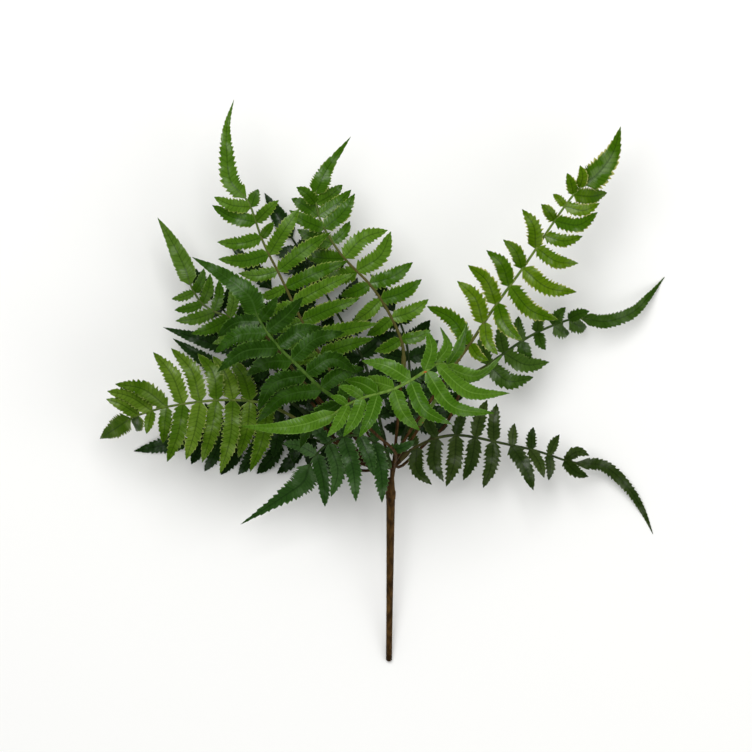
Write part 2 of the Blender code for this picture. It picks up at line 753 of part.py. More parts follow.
def stem_tube():
    """Give the tube of the stem with its collar and rounded end."""
    low = Vector(STEM_END)
    span = Vector(STEM_TOP) - low
    heading = span.normalized()
    path = [(low + span * share, heading) for share, radius in STEM_PROFILE]
    return tube(path, [radius for share, radius in STEM_PROFILE], STEM_SIDES)


def make_stem(material):
    """Make the stem, its collar and all branch wires as one fused body."""
    stem = add_object("stem_and_wires", *stem_tube(), material)
    wires = bpy.data.collections.new("wires")
    for frond in FRONDS:
        wire = add_object(f"wire_{frond.name}", *wire_tube(frond, WIRE_RADIUS), material)
        bpy.context.scene.collection.objects.unlink(wire)
        wires.objects.link(wire)
    bpy.context.scene.collection.children.link(wires)
    union = stem.modifiers.new("union", "BOOLEAN")
    union.operation = "UNION"
    union.operand_type = "COLLECTION"
    union.collection = wires
    union.solver = "EXACT"
    shape = bpy.context.evaluated_depsgraph_get()
    joined = bpy.data.meshes.new_from_object(stem.evaluated_get(shape))
    stem.modifiers.clear()
    stem.data = joined
    for wire in list(wires.objects):
        bpy.data.objects.remove(wire, do_unlink=True)
    bpy.data.collections.remove(wires)
    clean = bmesh.new()
    clean.from_mesh(joined)
    bmesh.ops.triangulate(clean, faces=clean.faces)
    clean.to_mesh(joined)
    clean.free()
    joined.shade_smooth()
    joined.set_sharp_from_angle(angle=SHARP_ANGLE)
    return stem


def make_fronds():
    """Make one object for each frond."""
    obstacles = Obstacles()
    obstacles.add(*stem_tube())
    chosen = place_leaflets(obstacles)
    for frond in FRONDS:
        sheet = frond_sheet(frond, chosen[frond.name])
        material = plastic(f"leaf_{frond.name}", frond.colour, LEAF_ROUGHNESS)
        add_object(frond.name, *sheet.solid(), material)


def main():
    """Clear the scene and model the spray."""
    for old in list(bpy.data.objects):
        bpy.data.objects.remove(old, do_unlink=True)
    make_stem(plastic("stem_coating", BROWN, COATING_ROUGHNESS))
    make_fronds()


main()
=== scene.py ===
"""Looks of the artificial fern spray.

Finer leaflets, ribs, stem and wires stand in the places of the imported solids. Sizes are in millimetres
until a mesh is made: X to the right and Y towards the top of the spray as the camera sees it from above,
both from the middle of the spray, and Z as the height over the table.
"""
import sys
import logging
import math
import random
from dataclasses import dataclass
from enum import Enum
from functools import cache

import bpy
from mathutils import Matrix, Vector
from mathutils.kdtree import KDTree


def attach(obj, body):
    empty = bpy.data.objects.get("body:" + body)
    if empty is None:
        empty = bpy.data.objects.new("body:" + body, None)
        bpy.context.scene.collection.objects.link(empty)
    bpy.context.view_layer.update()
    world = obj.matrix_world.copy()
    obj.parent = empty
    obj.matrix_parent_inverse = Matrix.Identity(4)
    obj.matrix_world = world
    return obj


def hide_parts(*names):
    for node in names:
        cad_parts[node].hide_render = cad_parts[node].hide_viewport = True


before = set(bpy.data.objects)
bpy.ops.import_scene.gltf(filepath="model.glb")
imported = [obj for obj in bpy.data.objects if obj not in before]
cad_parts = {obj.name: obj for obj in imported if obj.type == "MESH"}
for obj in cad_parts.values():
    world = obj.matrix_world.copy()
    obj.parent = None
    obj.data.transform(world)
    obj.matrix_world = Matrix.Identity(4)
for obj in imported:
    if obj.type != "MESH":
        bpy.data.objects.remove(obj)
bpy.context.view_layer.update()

LOG = logging.getLogger("fern_spray")
MM = 0.001
UP = Vector((0, 0, 1))

Spot = tuple[float, ...]
Colour = tuple[int, int, int]
Place = tuple[float, float, float]
Station = tuple[Vector, Vector]

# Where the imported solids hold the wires, ribs and leaflets
WIRE_ROOT = (6.6, -88.0, 47.7)
WIRE_BUNDLE = (8.4, -70.0, 54.0)
BUNDLE_SPREAD = 2.2
WIRE_RADIUS = 1.2
WIRE_STEP = 11.0
JOIN_GAP = 0.3
RIB_TAPER = 0.35
RIB_HALF = 0.9
NECK = 2.6
LEAFLET_WIDTH = 14.0
LEAST_WIDTH = 4.0
WIDTH_PER_LENGTH = 0.24
LEAFLET_ANGLE = math.radians(64)
LEAFLET_DROOP = 0.2
LEAFLET_LIFT = 0.1
END_LIFT = 3.0
REACH_AT_FOOT = 0.75
REACH_RISE = 0.5
REACH_FALL = 0.65
SHOULDER = 0.1
SHOULDER_WIDTH = 0.86
SHOULDER_RISE = 0.5
WIDEST_AT = 0.3
LEAFLET_FULLNESS = 2.3
END_FULLNESS = 1.5
TIP_REACH = 0.6

# The ways in which a packed leaflet may be bent: extra height of its tip, share of its length
BEND_HEIGHTS = ((1, (5, 9, 14, 20)), (0.85, (8, 15)), (0.7, (9, 16)), (0.5, (8,)))
BENDS = [(sign * extra, share) for share, extras in BEND_HEIGHTS for extra in (0, *extras) for sign in (1, -1)]

# The finer blades: the rises of fold and wave are shares of the half width
COLUMNS = (-1.0, -0.72, -0.42, -0.12, 0.0, 0.12, 0.42, 0.72, 1.0)
FINE_TOOTH = 3.9
TOOTH_SHIFT = 0.12
TOOTH_OVERSHOOT = 0.35
TOOTH_CUTS = (0.4, 1.6)
VEIN_END = 0.16
FIELD_TOP = 0.58
FINE_SWEEP = 0.55
FINE_HALF = 0.26
KEEL = 0.45
KEEL_REACH = 0.12
FOLD_RISE = 0.36
FOLD_FALL = 0.3
FIELD_RISE = 0.26
WAVE_RISE = 0.13
RIB_STEP = 3.0
RIB_SIDES = 10
RIDGES = 7
MINOR_RIDGES = 11
FINE_WIRE_STEP = 4.0
SLEEVE = ((-7.0, 1.5), (-6.4, 1.95), (-3.0, 2.0), (1.5, 1.9))
UNDER_END_STEP = 0.045
UNDER_END_DROP = 0.25

# The plastic's pattern: patches in a metre, and how much of a colour shows
LEAF_PATCHES = 75.0
LEAF_FLECKS = 240.0
LEAF_GRAINS = 900.0
STEM_PATCHES = 130.0
SPECKS = 330.0
STREAKS = 420.0
STEM_GRAINS = 1100.0
VEIN_SHARE = 0.4
MIDRIB_SHARE = 0.5
EDGE_SHARE = 0.8
UNDERSIDE_SHARE = 0.8
FOOT_SHARE = 0.75
FOOT_FADE = 0.3
COAT_OVER_GLOSS = 2.2
LEAF_PLACE = "leaf_place"
LEAF_UNDERSIDE = "leaf_underside"


class Tone(Enum):
    """The record's material slots for the plastic leaves."""

    BRIGHT = "leaf_bright"
    MID = "leaf_mid"
    DEEP = "leaf_deep"
    DARK = "leaf_dark"


class Skin(Enum):
    """Which of a frond's two finishes a face takes."""

    LEAF = 0
    RIB = 1


def linear(colour: Colour) -> tuple[float, float, float, float]:
    """Turn a screen colour, from 0 to 255, into the linear one that shaders use, with an alpha of 1."""
    shares = [c / 255 for c in colour]
    return (*[s / 12.92 if s <= 0.04045 else ((s + 0.055) / 1.055) ** 2.4 for s in shares], 1.0)


class Graph:
    """Adds and links the nodes of one material or node group."""

    def __init__(self, tree: bpy.types.NodeTree) -> None:
        """Keep the tree that the nodes go into."""
        self.tree = tree

    def feed(self, node: bpy.types.Node, entries: dict[str | int, object]) -> None:
        """Feed a node's inputs.

        Args:
            node: The node.
            entries: A socket, number or colour for each input, by its name or number.
        """
        for entry, value in entries.items():
            if isinstance(value, bpy.types.NodeSocket):
                self.tree.links.new(value, node.inputs[entry])
            else:
                node.inputs[entry].default_value = value

    def add(self, kind: str, entries: dict[str | int, object], **settings: object) -> bpy.types.Node:
        """Add a node.

        Args:
            kind: Its type name.
            entries: What its inputs are fed.
            settings: Its properties.

        Returns:
            The node.
        """
        made = self.tree.nodes.new(kind)
        for name, value in settings.items():
            setattr(made, name, value)
        self.feed(made, entries)
        return made

    def math(self, operation: str, *values: object) -> bpy.types.NodeSocket:
        """Add a math node for some sockets or numbers, and give its result."""
        return self.add("ShaderNodeMath", dict(enumerate(values)), operation=operation).outputs[0]

    def ramp(self, value: object, low: object, high: object) -> bpy.types.NodeSocket:
        """Turn a value smoothly into 0 where it is low and 1 where it is high. High may be below low."""
        entries = {"Value": value, "From Min": low, "From Max": high}
        return self.add("ShaderNodeMapRange", entries, interpolation_type="SMOOTHSTEP").outputs["Result"]

    def blend(self, share: object, first: object, second: object) -> bpy.types.NodeSocket:
        """Mix two colours by the share of the second one."""
        return self.add("ShaderNodeMix", {0: share, 6: first, 7: second}, data_type="RGBA").outputs[2]

    def noise(self, scale: float, detail: float, stretch: Spot = (1, 1, 1)) -> bpy.types.NodeSocket:
        """Add noise fixed to the object.

        Args:
            scale: Patches in a metre.
            detail: Finer layers.
            stretch: The squeeze along each axis.

        Returns:
            The noise value's socket.
        """
        place = self.add("ShaderNodeTexCoord", {}).outputs["Object"]
        squeezed = self.add("ShaderNodeMapping", {"Vector": place, "Scale": stretch}).outputs[0]
        return self.add("ShaderNodeTexNoise", {"Vector": squeezed, "Scale": scale, "Detail": detail}).outputs[0]

    def leaf_place(self) -> list[bpy.types.NodeSocket]:
        """Give a point's teeth along its leaflet, its share across and its leaflet's tint."""
        place = self.add("ShaderNodeAttribute", {}, attribute_name=LEAF_PLACE).outputs["Vector"]
        return list(self.add("ShaderNodeSeparateXYZ", {0: place}).outputs)


def node_group(
    name: str, colours: tuple[str, ...], numbers: tuple[str, ...]
) -> tuple[Graph, object, bpy.types.Node]:
    """Start a shader node group that gives a colour, a roughness, a coat and a height.

    Args:
        name: The group's name.
        colours: The names of its colour inputs.
        numbers: The names of its number inputs.

    Returns:
        Its graph, the sockets of its inputs and its output node.
    """
    tree = bpy.data.node_groups.new(name, "ShaderNodeTree")
    sockets = [("INPUT", "Color", entry) for entry in colours] + [("INPUT", "Float", entry) for entry in numbers]
    sockets += [("OUTPUT", "Color", "Colour")]
    sockets += [("OUTPUT", "Float", entry) for entry in ("Roughness", "Coat", "Height")]
    for way, kind, entry in sockets:
        tree.interface.new_socket(entry, in_out=way, socket_type=f"NodeSocket{kind}")
    graph = Graph(tree)
    return graph, graph.add("NodeGroupInput", {}).outputs, graph.add("NodeGroupOutput", {})


@cache
def leaf_pattern() -> bpy.types.NodeTree:
    """Make the pattern of a moulded leaflet: midrib, side veins, pale worn edges and mottled green.

    Returns:
        The node group.
    """
    graph, value, out = node_group(
        "leaf_pattern", ("Blade", "Pale", "Edge", "Vein", "Midrib", "Underside"),
        ("Mottle", "Edge Start", "Gloss Patches"),
    )
    along, across, tint = graph.leaf_place()
    across = graph.math("ABSOLUTE", across)
    under = graph.add("ShaderNodeAttribute", {}, attribute_name=LEAF_UNDERSIDE).outputs["Fac"]
    midrib = graph.ramp(across, 0.13, 0.02)
    side_vein = graph.ramp(graph.math("PINGPONG", along, 0.5), 0.16, 0.0)
    side_vein = graph.math("MULTIPLY", side_vein, graph.ramp(across, 1.0, 0.7))
    patches = graph.noise(LEAF_PATCHES, 3.0)
    grain = graph.noise(LEAF_GRAINS, 2.0)
    edge = graph.ramp(across, value["Edge Start"], 1.0)
    ragged = graph.math("MULTIPLY", edge, graph.ramp(graph.noise(LEAF_FLECKS, 2.0), 0.3, 0.6))
    lift = graph.math("MULTIPLY", graph.math("SUBTRACT", patches, 0.42), value["Mottle"])
    lift = graph.math("ADD", lift, graph.math("MULTIPLY", graph.math("SUBTRACT", tint, 0.3), 0.5))
    green = graph.blend(graph.math("MAXIMUM", lift, 0.0), value["Blade"], value["Pale"])
    for mask, share, entry in (
        (side_vein, VEIN_SHARE, "Vein"), (midrib, MIDRIB_SHARE, "Midrib"), (ragged, EDGE_SHARE, "Edge"),
        (under, UNDERSIDE_SHARE, "Underside"),
    ):
        green = graph.blend(graph.math("MULTIPLY", mask, share), green, value[entry])
    gloss = graph.math("MULTIPLY", graph.ramp(patches, 0.48, 0.66), value["Gloss Patches"])
    height = graph.math("MULTIPLY_ADD", side_vein, -0.5, graph.math("MULTIPLY", grain, 0.35))
    graph.feed(out, {
        "Colour": green,
        "Roughness": graph.math("SUBTRACT", graph.math("MULTIPLY_ADD", grain, 0.16, 0.42), gloss),
        "Coat": graph.math("MULTIPLY", gloss, COAT_OVER_GLOSS),
        "Height": graph.math("MULTIPLY_ADD", midrib, -0.8, height),
    })
    return graph.tree


@cache
def moulded_grain() -> bpy.types.NodeTree:
    """Make the streaked finish of ribs, wires and stem, with specks and a foot of another colour.

    Returns:
        The node group.
    """
    graph, value, out = node_group(
        "moulded_grain", ("Dark", "Light", "Speck", "Foot"), ("Specks", "Streaks", "Foot Reach", "Polish")
    )
    foot = graph.ramp(
        graph.leaf_place()[0], value["Foot Reach"], graph.math("SUBTRACT", value["Foot Reach"], FOOT_FADE)
    )
    streak = graph.noise(STREAKS, 3.0, (1.0, 0.07, 1.0))
    grain = graph.noise(STEM_GRAINS, 2.0)
    share = graph.math("MULTIPLY", graph.ramp(streak, 0.35, 0.68), value["Streaks"])
    share = graph.math("ADD", share, graph.math("MULTIPLY", graph.ramp(graph.noise(STEM_PATCHES, 2.0), 0.4, 0.7), 0.4))
    colour = graph.blend(graph.math("MINIMUM", share, 1.0), value["Dark"], value["Light"])
    colour = graph.blend(graph.math("MULTIPLY", foot, FOOT_SHARE), colour, value["Foot"])
    spots = graph.math("MULTIPLY", graph.ramp(graph.noise(SPECKS, 1.0), 0.66, 0.72), value["Specks"])
    graph.feed(out, {
        "Colour": graph.blend(spots, colour, value["Speck"]),
        "Roughness": graph.math("MULTIPLY_ADD", grain, 0.2, 0.42),
        "Coat": graph.math("MULTIPLY", grain, value["Polish"]),
        "Height": graph.math("MULTIPLY_ADD", streak, 0.8, graph.math("MULTIPLY", grain, 0.2)),
    })
    return graph.tree


def patterned(name: str, pattern: bpy.types.NodeTree, values: dict[str, object], relief: float) -> bpy.types.Material:
    """Make a plastic whose looks come from a node group, once for each name.

    Args:
        name: The material's name.
        pattern: The node group.
        values: The group's inputs.
        relief: How deep the bumps are, in millimetres.

    Returns:
        The material.
    """
    if name in bpy.data.materials:
        return bpy.data.materials[name]
    material = bpy.data.materials.new(name)
    material.use_nodes = True
    graph = Graph(material.node_tree)
    shader = material.node_tree.nodes["Principled BSDF"]
    given = graph.add("ShaderNodeGroup", values, node_tree=pattern).outputs
    bump = graph.add("ShaderNodeBump", {"Distance": relief * MM, "Height": given["Height"]})
    graph.feed(shader, {
        "Base Color": given["Colour"], "Roughness": given["Roughness"], "Coat Weight": given["Coat"],
        "Normal": bump.outputs["Normal"],
    })
    shader.inputs["Metallic"].default_value = 0.0
    shader.inputs["IOR"].default_value = 1.46
    shader.inputs["Specular IOR Level"].default_value = 0.05
    shader.inputs["Coat Roughness"].default_value = 0.3
    return material


@dataclass(frozen=True)
class LeafFinish:
    """The colours of one frond's moulded plastic: its own green tone with painted light or shade for how brightly the
    frond is lit.
    """

    name: str
    blade: Colour
    pale: Colour
    edge: Colour
    vein: Colour
    underside: Colour
    rib: Colour
    rib_light: Colour
    midrib: Colour | None = None
    mottle: float = 1.2
    edge_start: float = 0.8
    gloss: float = 0.12
    specks: float = 0.0
    foot: Colour = (78, 66, 32)
    foot_reach: float = 0.0

    def materials(self) -> list[bpy.types.Material]:
        """Give the leaf material and the rib material, in the order of Skin."""
        leaf = {name: linear(getattr(self, name.lower())) for name in ("Blade", "Pale", "Edge", "Vein", "Underside")}
        leaf |= {
            "Midrib": linear(self.midrib or self.vein), "Mottle": self.mottle, "Edge Start": self.edge_start,
            "Gloss Patches": self.gloss,
        }
        rib = {
            "Dark": linear(self.rib), "Light": linear(self.rib_light), "Speck": linear((168, 78, 38)),
            "Specks": self.specks, "Streaks": 0.5, "Foot": linear(self.foot), "Foot Reach": self.foot_reach,
            "Polish": 0.12,
        }
        return [
            patterned(f"leaf_{self.name}", leaf_pattern(), leaf, 0.35),
            patterned(f"rib_{self.name}", moulded_grain(), rib, 0.2),
        ]


@dataclass(frozen=True)
class StemFinish:
    """The brown coating of the stem and its wires."""

    dark: Colour = (38, 24, 6)
    light: Colour = (84, 60, 28)

    def material(self) -> bpy.types.Material:
        """Give the coating's material."""
        values = {
            "Dark": linear(self.dark), "Light": linear(self.light), "Speck": linear((108, 76, 40)),
            "Specks": 0.25, "Streaks": 0.7, "Polish": 0.12,
        }
        return patterned("brown_plastic", moulded_grain(), values, 0.3)


# Lit and shaded copies of one green plastic: each frond's colours hold its own tone and also painted light or painted
# shade for how much light reaches it in the spray.
FRONT = LeafFinish(
    "front", (54, 92, 8), (94, 132, 36), (106, 142, 60), (30, 64, 6), (80, 110, 42), (76, 108, 32), (114, 142, 62),
    midrib=(108, 144, 60), specks=1.0, mottle=1.0, gloss=0.2,
)
# Painted light: the top right frond's colours are set brighter for the light that falls on it at the top of the spray.
SUNLIT = LeafFinish(
    "sunlit", (56, 92, 0), (108, 136, 16), (196, 190, 116), (28, 54, 0), (100, 118, 48), (70, 96, 30), (112, 130, 58),
    edge_start=0.76, gloss=0.26, foot_reach=0.4,
)
FRESH = LeafFinish(
    "fresh", (54, 90, 6), (102, 138, 38), (146, 158, 76), (26, 56, 2), (86, 112, 48), (66, 88, 34), (100, 118, 54),
    gloss=0.26, foot_reach=0.8,
)
OLIVE = LeafFinish(
    "olive", (56, 86, 4), (106, 132, 40), (142, 152, 82), (28, 52, 0), (90, 110, 48), (66, 86, 28), (100, 114, 50),
    mottle=1.7, gloss=0.2, foot_reach=0.3,
)
SAGE = LeafFinish(
    "sage", (52, 86, 8), (94, 124, 42), (122, 144, 76), (28, 56, 4), (82, 104, 50), (64, 82, 34), (92, 106, 52),
    gloss=0.2, foot_reach=0.7,
)
FOREST = LeafFinish(
    "forest", (24, 52, 0), (52, 90, 14), (86, 118, 46), (12, 32, 0), (54, 80, 30), (44, 72, 14), (78, 106, 40),
    midrib=(52, 82, 28), mottle=1.6, gloss=0.14,
)
SLATE = LeafFinish(
    "slate", (36, 66, 20), (76, 108, 56), (92, 120, 70), (16, 38, 8), (60, 86, 44), (34, 54, 18), (64, 86, 42),
    mottle=1.5, gloss=0.24,
)
MOSS = LeafFinish(
    "moss", (42, 70, 10), (78, 106, 38), (100, 120, 62), (20, 42, 4), (66, 88, 42), (44, 64, 24), (76, 96, 46),
    gloss=0.2, foot_reach=0.3,
)
# Painted shade: the low right frond's olive-brown greens are set darker for the little light that reaches it low in
# the spray.
DUSK = LeafFinish(
    "dusk", (32, 50, 10), (68, 84, 34), (94, 108, 58), (14, 28, 0), (58, 74, 36), (34, 46, 16), (62, 76, 38),
    gloss=0.24, foot_reach=0.3,
)
# Painted shade: the hidden back fronds take near black-green colours that stand in for the shadow deep inside the
# spray.
PAINTED_SHADE = LeafFinish(
    "shade", (14, 36, 2), (40, 70, 22), (60, 88, 38), (4, 18, 0), (38, 60, 22), (26, 40, 12), (48, 64, 28),
    gloss=0.22,
)


def facing_up(heading: Vector) -> Vector:
    """Give the direction across a heading that points most upward."""
    return (UP - heading * heading.dot(UP)).normalized()


def curve_point(points: list[Vector], at: float) -> Station:
    """Follow a smooth curve through some points.

    Args:
        points: The points, in order.
        at: Where on the curve, as a point number.

    Returns:
        The place there and the curve's heading.
    """
    last = len(points) - 1
    index = min(int(at), last - 1)
    t = at - index
    p1 = points[index]
    p2 = points[index + 1]
    p0 = points[index - 1] if index else p1 * 2 - p2
    p3 = points[index + 2] if index + 2 <= last else p2 * 2 - p1
    a = p3 - p0 + (p1 - p2) * 3
    b = p0 * 2 - p1 * 5 + p2 * 4 - p3
    c = p2 - p0
    place = p1 + (c * t + b * t * t + a * t ** 3) / 2
    return place, (c + b * t * 2 + a * t * t * 3).normalized()


def stations_every(points: list[Vector], first: int, last: int, step: float) -> list[Station]:
    """Walk along a part of a curve in even steps.

    Args:
        points: The curve's points.
        first: The point number to start from.
        last: The point number to end at.
        step: The greatest step, in millimetres.

    Returns:
        The places and headings, both ends among them.
    """
    found = [curve_point(points, first)]
    for index in range(first, last):
        steps = max(1, round((points[index + 1] - points[index]).length / step))
        found += [curve_point(points, index + (k + 1) / steps) for k in range(steps)]
    return found


def body_share(at: float, fullness: float) -> float:
    """Give a leaflet's share of its greatest width at a share of its length, by how late it narrows."""
    narrowing = (max(0, at - WIDEST_AT) / (1 - WIDEST_AT)) ** fullness
    return min(SHOULDER_WIDTH + SHOULDER_RISE * at, 1 - narrowing)


class Shell:
    """One piece's mesh while it is being built, with each point's place on its leaflet."""

    def __init__(self) -> None:
        """Start with nothing in it."""
        self.points: list[Vector] = []
        self.faces: list[tuple[int, ...]] = []
        self.skins: list[int] = []
        self.places: list[Place] = []
        self.undersides: list[float] = []

    def add(self, point: Vector, place: Place, underside: float = 0) -> int:
        """Add a point and keep it above the table.

        Args:
            point: Where it is.
            place: Teeth along, share across and tint of its leaflet.
            underside: 1 for the back of a blade.

        Returns:
            The point's number.
        """
        self.points.append(Vector((point.x, point.y, max(point.z, 0))))
        self.places.append(place)
        self.undersides.append(underside)
        return len(self.points) - 1

    def face(self, corners: tuple[int, ...], skin: Skin = Skin.LEAF) -> None:
        """Add a face with the finish that it takes."""
        self.faces.append(corners)
        self.skins.append(skin.value)

    def tube(
        self, path: list[Station], sizes: list[tuple[float, float]], sides: int, skin: Skin, ridge: float = 0
    ) -> None:
        """Add a closed tube.

        Args:
            path: Its places and headings.
            sizes: Half its width and half its height at each place.
            sides: The number of its sides.
            skin: The finish that it takes.
            ridge: How far its ridges stand out, as a share of its size.
        """
        first = len(self.points)
        for ring, ((place, heading), (wide, high)) in enumerate(zip(path, sizes)):
            facing = facing_up(heading)
            across = facing.cross(heading)
            for k in range(sides):
                angle = math.tau * k / sides
                swell = math.sin(RIDGES * angle + 0.11 * ring) + 0.6 * math.sin(MINOR_RIDGES * angle - 0.07 * ring)
                outward = across * math.cos(angle) * wide + facing * math.sin(angle) * high
                self.add(place + outward * (1 + ridge * swell), (ring / len(path), 0, 0))
        for ring in range(len(path) - 1):
            for k in range(sides):
                a = first + ring * sides + k
                b = first + ring * sides + (k + 1) % sides
                self.face((a, a + sides, b + sides, b), skin)
        self.face(tuple(range(first, first + sides)), skin)
        end = first + (len(path) - 1) * sides
        self.face(tuple(reversed(range(end, end + sides))), skin)

    def blade(self, rows: list[list[tuple[Vector, Vector, float, Place]]], point: Vector, place: Place) -> None:
        """Add a closed thin blade.

        Args:
            rows: From the neck outward, each with its points from left to right: the middle point, the
                upward direction, the thickness below and the place on the leaflet.
            point: The tip.
            place: The tip's place on the leaflet.
        """
        tops = []
        backs = []
        for row in rows:
            tops.append([self.add(p + up * FINE_HALF, at) for p, up, below, at in row])
            backs.append([self.add(p - up * below, at, 1) for p, up, below, at in row])
        tip = self.add(point, place, 0.5)
        width = len(tops[0])
        for number in range(len(tops) - 1):
            top, next_top, back, next_back = tops[number], tops[number + 1], backs[number], backs[number + 1]
            for k in range(width - 1):
                self.face((top[k], next_top[k], next_top[k + 1], top[k + 1]))
                self.face((back[k], back[k + 1], next_back[k + 1], next_back[k]))
            self.face((top[0], back[0], next_back[0], next_top[0]))
            self.face((top[-1], next_top[-1], next_back[-1], back[-1]))
        for k in range(width - 1):
            self.face((tops[0][k + 1], backs[0][k + 1], backs[0][k], tops[0][k]))
            self.face((tops[-1][k], tip, tops[-1][k + 1]))
            self.face((backs[-1][k], backs[-1][k + 1], tip))
        self.face((tops[-1][0], backs[-1][0], tip))
        self.face((tops[-1][-1], tip, backs[-1][-1]))

    def piece(self, name: str, materials: list[bpy.types.Material]) -> bpy.types.Object:
        """Turn what was built into an object in metres.

        Args:
            name: The object's name.
            materials: Its materials, in the order of Skin.

        Returns:
            The object.
        """
        mesh = bpy.data.meshes.new(name)
        mesh.from_pydata([p * MM for p in self.points], [], self.faces)
        for material in materials:
            mesh.materials.append(material)
        mesh.polygons.foreach_set("material_index", self.skins)
        place = mesh.attributes.new(LEAF_PLACE, "FLOAT_VECTOR", "POINT")
        place.data.foreach_set("vector", [x for spot in self.places for x in spot])
        under = mesh.attributes.new(LEAF_UNDERSIDE, "FLOAT", "POINT")
        under.data.foreach_set("value", self.undersides)
        mesh.shade_smooth()
        mesh.set_sharp_from_angle(angle=math.radians(55))
        mesh.validate()
        made = bpy.data.objects.new(name, mesh)
        bpy.context.scene.collection.objects.link(made)
        return made


@dataclass(frozen=True)
class Pair:
    """A rib point with the tips of its two leaflets, as (x, y) or (x, y, fall), and how they arch.

    An empty tip is worked out, because the photo hides it. None stands for no leaflet. Bows are given
    where they differ from the frond's own.
    """

    rib: Spot
    left: Spot | None = ()
    right: Spot | None = ()
    bows: Spot = ()


@dataclass(frozen=True)
class Leaflet:
    """One leaflet: its middle line, the way it faces, its width and how its edge is cut."""

    points: tuple[Vector, ...]
    facing: Vector
    width: float
    fullness: float
    tooth_depth: float
    inset: float = 0.8
    stir: float = 1.0

    def grow_into(self, shell: Shell, dice: random.Random) -> None:
        """Build the fine blade: toothed edges, a sunken midrib, raised fields between the side veins.

        Args:
            shell: The mesh that it is added to.
            dice: The chance that varies it.
        """
        points = list(self.points)
        last = len(points) - 1
        length = sum((b - a).length for a, b in zip(points, points[1:]))
        tint = dice.random()
        fold = dice.uniform(0.8, 1.25) * self.stir
        lean = dice.uniform(-0.3, 0.3) * self.stir
        wave = dice.uniform(0, math.tau)
        rows = []
        for at, tooth, count, relief in self.fine_stations(length, dice):
            half = self.half_width_at(at)
            sweep = FINE_SWEEP * half / length * min(1, at / 0.25)
            row = []
            for u in COLUMNS:
                side = abs(u)
                place, heading = curve_point(points, max(0, at - sweep * (1 - side)) * last)
                across = self.facing.cross(heading).normalized()
                up = heading.cross(across)
                across, up = across + up * lean * at, up - across * lean * at
                out = half * (u * tooth if side == 1 else u)
                rise = fold * half * (FOLD_RISE * side - FOLD_FALL * side * side)
                rise += FIELD_RISE * relief * math.sin(math.pi * side)
                rise += WAVE_RISE * self.stir * half * math.sin(9 * at + wave + 2 * u) * side * side
                keel = KEEL * (1 - at) * max(0, 1 - side / KEEL_REACH)
                middle = place - across * out + up * rise
                middle.z = max(middle.z, FINE_HALF)
                row.append((middle, up, FINE_HALF + keel, (count, u, tint)))
            rows.append(row)
        heading = curve_point(points, 0)[1]
        rows[0] = [(p - heading * self.inset, up, below, at) for p, up, below, at in rows[0]]
        shell.blade(rows, curve_point(points, last)[0], (count + 1, 0, tint))

    def half_width_at(self, at: float) -> float:
        """Give the blade's half width at a share of its length, without its teeth."""
        if at >= SHOULDER:
            return self.width / 2 * body_share(at, self.fullness)
        full = self.width / 2 * body_share(SHOULDER, self.fullness)
        return NECK / 2 + (full - NECK / 2) * math.sin(math.pi / 2 * at / SHOULDER)

    def fine_stations(self, length: float, dice: random.Random) -> list[tuple[float, float, float, float]]:
        """Work out the rows of the fine blade.

        Args:
            length: The blade's length, in millimetres.
            dice: The chance that varies the teeth.

        Returns:
            For each row the share of the length, the share of the width that its teeth leave, the tooth
            number and the blade's rise, from -1 in a vein to 1 between two.
        """
        rows = [(0.0, 1.0, 0.0, 0.0), (0.035, 1.0, 0.3, 0.0), (0.07, 0.98, 0.6, 0.5)]
        count = max(6, round(length / FINE_TOOTH))
        gap = (1 - SHOULDER) / count
        for k in range(count):
            at = SHOULDER + gap * (k + dice.uniform(-TOOTH_SHIFT, TOOTH_SHIFT) * (k > 0))
            cut = self.tooth_depth * dice.uniform(*TOOTH_CUTS)
            rows.append((at, 1 + TOOTH_OVERSHOOT * self.tooth_depth * dice.uniform(-0.6, 1), k + 1.0, -1.0))
            rows.append((at + VEIN_END * gap, 1 - cut, k + 1.2, -0.2))
            rows.append((at + FIELD_TOP * gap, 1 - 0.4 * cut, k + 1.6, 1.0))
        return rows


